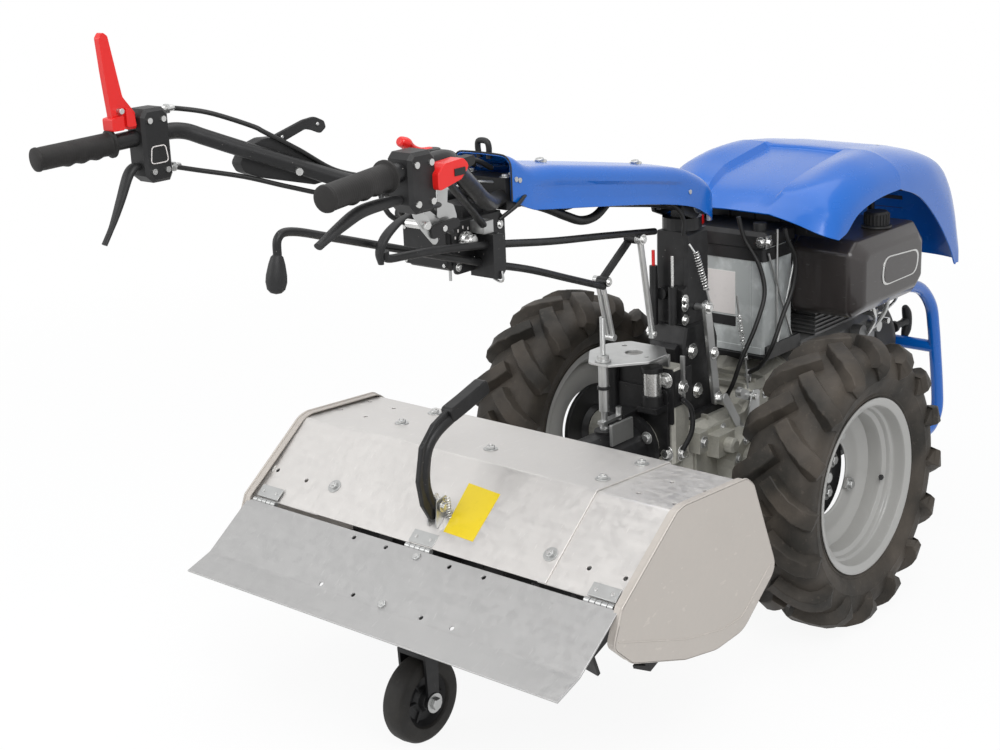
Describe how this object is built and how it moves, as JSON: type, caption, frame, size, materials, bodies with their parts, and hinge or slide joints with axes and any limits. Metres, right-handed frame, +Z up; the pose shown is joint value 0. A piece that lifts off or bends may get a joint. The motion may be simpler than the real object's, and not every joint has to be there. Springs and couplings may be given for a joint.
{
  "type": "two-wheel walking tractor with rear rotary tiller",
  "caption": "Two-wheel walking tractor with a blue cowl, long handlebars and a galvanised rotary tiller mounted behind the axle.",
  "frame": {"origin": "on the ground, under the middle of the machine's length and width", "axes": "+X forwards towards the engine, +Y to the machine's left, +Z up"},
  "size_m": [1.9882, 0.85, 1.21],
  "materials": {
    "cast_alloy": "rough sand-cast surface, grey",
    "engine_alloy": "dark grey cast engine block",
    "black_paint": "black semi-gloss powder coat",
    "black_plastic": "black moulded plastic, fine grain",
    "tank_paint": "dark brown-black gloss paint",
    "blue_paint": "bright blue gloss paint",
    "galvanised": "galvanised sheet, fine grain and scuffs",
    "end_plate_grey": "warm light grey satin paint",
    "zinc_plate": "bright zinc plating, slightly dull",
    "exhaust_steel": "heat-toned sheet steel",
    "case_plastic": "blue-grey battery case",
    "cable_sheath": "black cable sheath",
    "tyre_rubber": "brownish-black rubber with deep lugs",
    "rim_silver": "silver-grey paint",
    "tail_wheel_rubber": "black solid rubber on a steel disc",
    "tine_steel": "black painted forged steel",
    "grip_rubber": "black ridged rubber",
    "red_plastic": "red moulded plastic"
  },
  "bodies": {
    "chassis": {"gearbox": "cast_alloy", "clutch_housing": "cast_alloy", "engine_block": "engine_alloy", "recoil_housing": "black_plastic", "recoil_handle": "black_plastic", "fuel_tank": "tank_paint", "fuel_cap": "black_plastic", "air_cleaner": "black_plastic", "muffler": "exhaust_steel", "engine_cowl": "blue_paint", "front_guard": "blue_paint", "battery_tray": "black_paint", "battery_case": "case_plastic", "battery_lid": "black_plastic", "clutch_cable": "cable_sheath", "gear_cable": "cable_sheath", "column": "black_paint", "lever_bar": "zinc_plate", "hitch_box": "black_paint", "selector_plate": "zinc_plate", "depth_spindle": "zinc_plate", "tiller_gearcase": "black_paint", "tiller_hood": "galvanised", "hood_extension_left": "galvanised", "hood_extension_right": "galvanised", "end_plate_left": "end_plate_grey", "end_plate_right": "end_plate_grey", "depth_lever": "black_paint", "tail_wheel_fork": "black_paint"},
    "wheel_left": {"tyre_left": "tyre_rubber", "rim_left": "rim_silver"},
    "wheel_right": {"tyre_right": "tyre_rubber", "rim_right": "rim_silver"},
    "tail_wheel": {"tail_wheel": "tail_wheel_rubber"},
    "rotor": {"rotor_left": "tine_steel", "rotor_right": "tine_steel"},
    "flap": {"rear_flap": "galvanised"},
    "handlebar_head": {"handlebar_head": "black_paint"},
    "handlebar": {"handle_beam": "black_paint", "handle_cover": "blue_paint", "handlebar_left": "black_paint", "handlebar_right": "black_paint", "grip_left": "grip_rubber", "grip_right": "grip_rubber", "bracket_left": "black_plastic", "bracket_right": "black_plastic", "stop_lever": "red_plastic", "clutch_lever": "black_plastic", "brake_lever": "black_plastic", "throttle_lever": "red_plastic", "lock_lever": "black_plastic", "shift_rod_upper": "black_paint", "shift_rod_lower": "black_paint", "shift_link_front": "zinc_plate", "shift_link_rear": "zinc_plate", "control_panel": "black_plastic", "cables_left": "cable_sheath", "cables_right": "cable_sheath"}
  },
  "joints": [
    {"name": "wheel_left_spin", "type": "hinge", "parent": "chassis", "child": "wheel_left", "pos_m": [0.28283, 0.32, 0.278], "axis": [0, 1, 0], "continuous": true},
    {"name": "wheel_right_spin", "type": "hinge", "parent": "chassis", "child": "wheel_right", "pos_m": [0.28283, -0.32, 0.278], "axis": [0, 1, 0], "continuous": true},
    {"name": "tail_wheel_spin", "type": "hinge", "parent": "chassis", "child": "tail_wheel", "pos_m": [-0.55217, 0, 0.077], "axis": [0, 1, 0], "continuous": true},
    {"name": "rotor_spin", "type": "hinge", "parent": "chassis", "child": "rotor", "pos_m": [-0.33717, 0, 0.265], "axis": [0, 1, 0], "continuous": true},
    {"name": "flap_hinge", "type": "hinge", "parent": "chassis", "child": "flap", "pos_m": [-0.53567, 0, 0.3432], "axis": [0, 1, 0], "range_deg": [0, 100]},
    {"name": "handlebar_swivel", "type": "hinge", "parent": "chassis", "child": "handlebar_head", "pos_m": [0.23283, 0, 0.75], "axis": [0, 0, 1], "range_deg": [-15, 15]},
    {"name": "handlebar_tilt", "type": "hinge", "parent": "handlebar_head", "child": "handlebar", "pos_m": [0.23283, 0, 0.79], "axis": [0, 1, 0], "range_deg": [-6, 6]}
  ]
}
